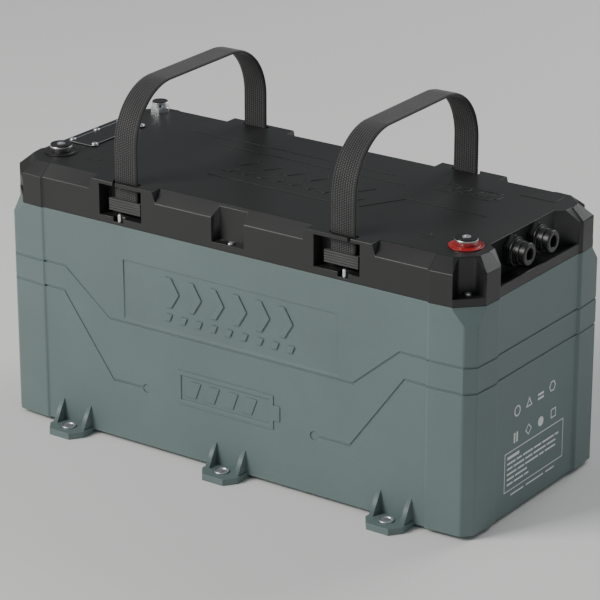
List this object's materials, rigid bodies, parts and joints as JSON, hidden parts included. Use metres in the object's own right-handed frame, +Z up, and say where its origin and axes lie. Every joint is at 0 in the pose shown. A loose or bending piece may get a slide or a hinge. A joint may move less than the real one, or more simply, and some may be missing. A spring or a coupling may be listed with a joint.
{
  "type": "deep cycle battery",
  "caption": "Rectangular lithium leisure battery with a chamfered lid, bolted terminals, webbing handles, data sockets and bolt-down feet.",
  "frame": {"origin": "centre of the footprint, on the plane under the feet", "axes": "+X to the connector end, -Y to the front face, +Z up"},
  "size_m": [0.516, 0.274, 0.343],
  "materials": {
    "case_plastic": "fine spark-textured moulded plastic, grey green",
    "lid_plastic": "fine spark-textured moulded plastic, near black",
    "black_plastic": "smooth moulded plastic, black",
    "red_plastic": "smooth moulded plastic, red",
    "gasket_rubber": "foam rubber",
    "webbing": "woven flat webbing, dark grey",
    "plated_steel": "bright plated",
    "terminal_metal": "turned and tin plated",
    "copper": "bare copper strip",
    "cell_aluminium": "drawn and satin",
    "circuit_board": "lacquered board"
  },
  "bodies": {
    "battery_body": {"case": "case_plastic", "lid": "lid_plastic", "lid_gasket": "gasket_rubber", "foot_bushing_front_1": "plated_steel", "foot_bushing_front_2": "plated_steel", "foot_bushing_front_3": "plated_steel", "foot_bushing_rear_1": "plated_steel", "foot_bushing_rear_2": "plated_steel", "foot_bushing_rear_3": "plated_steel", "lid_screw_1": "plated_steel", "lid_screw_2": "plated_steel", "lid_screw_3": "plated_steel", "lid_screw_4": "plated_steel", "lid_screw_5": "plated_steel", "lid_screw_6": "plated_steel", "lid_screw_7": "plated_steel", "lid_screw_8": "plated_steel", "lid_screw_9": "plated_steel", "lid_screw_10": "plated_steel", "negative_terminal_post": "terminal_metal", "negative_terminal_ring": "black_plastic", "negative_terminal_cap": "black_plastic", "negative_terminal_bolt": "plated_steel", "positive_terminal_post": "terminal_metal", "positive_terminal_ring": "red_plastic", "positive_terminal_cap": "black_plastic", "positive_terminal_bolt": "plated_steel", "service_cover": "lid_plastic", "service_screw_1": "plated_steel", "service_screw_2": "plated_steel", "service_screw_3": "plated_steel", "service_screw_4": "plated_steel", "service_screw_5": "plated_steel", "service_screw_6": "plated_steel", "vent_body": "plated_steel", "vent_cap": "black_plastic", "connector_body_1": "black_plastic", "connector_nut_1": "black_plastic", "connector_body_2": "black_plastic", "connector_nut_2": "black_plastic", "cell_1": "cell_aluminium", "cell_2": "cell_aluminium", "cell_3": "cell_aluminium", "cell_4": "cell_aluminium", "cell_5": "cell_aluminium", "cell_6": "cell_aluminium", "cell_7": "cell_aluminium", "cell_8": "cell_aluminium", "pack_end_plate_left": "cell_aluminium", "pack_end_plate_right": "cell_aluminium", "cell_link_board": "circuit_board", "battery_management_unit": "cell_aluminium", "negative_busbar": "copper", "positive_busbar": "copper"},
    "left_strap_ends": {"strap_anchor_left_front": "webbing", "strap_anchor_left_rear": "webbing"},
    "left_handle": {"handle_webbing_left": "webbing"},
    "right_strap_ends": {"strap_anchor_right_front": "webbing", "strap_anchor_right_rear": "webbing"},
    "right_handle": {"handle_webbing_right": "webbing"}
  },
  "joints": [
    {"name": "left_handle_lift", "type": "slide", "parent": "battery_body", "child": "left_strap_ends", "axis": [0, 0, 1], "range_m": [0, 0.012]},
    {"name": "left_handle_fold", "type": "hinge", "parent": "left_strap_ends", "child": "left_handle", "pos_m": [-0.121, 0, 0.2683], "axis": [-0.029, 0.9996, 0], "range_deg": [-85, 85]},
    {"name": "right_handle_lift", "type": "slide", "parent": "battery_body", "child": "right_strap_ends", "axis": [0, 0, 1], "range_m": [0, 0.012]},
    {"name": "right_handle_fold", "type": "hinge", "parent": "right_strap_ends", "child": "right_handle", "pos_m": [0.117, 0, 0.2683], "axis": [-0.029, 0.9996, 0], "range_deg": [-85, 85]}
  ]
}
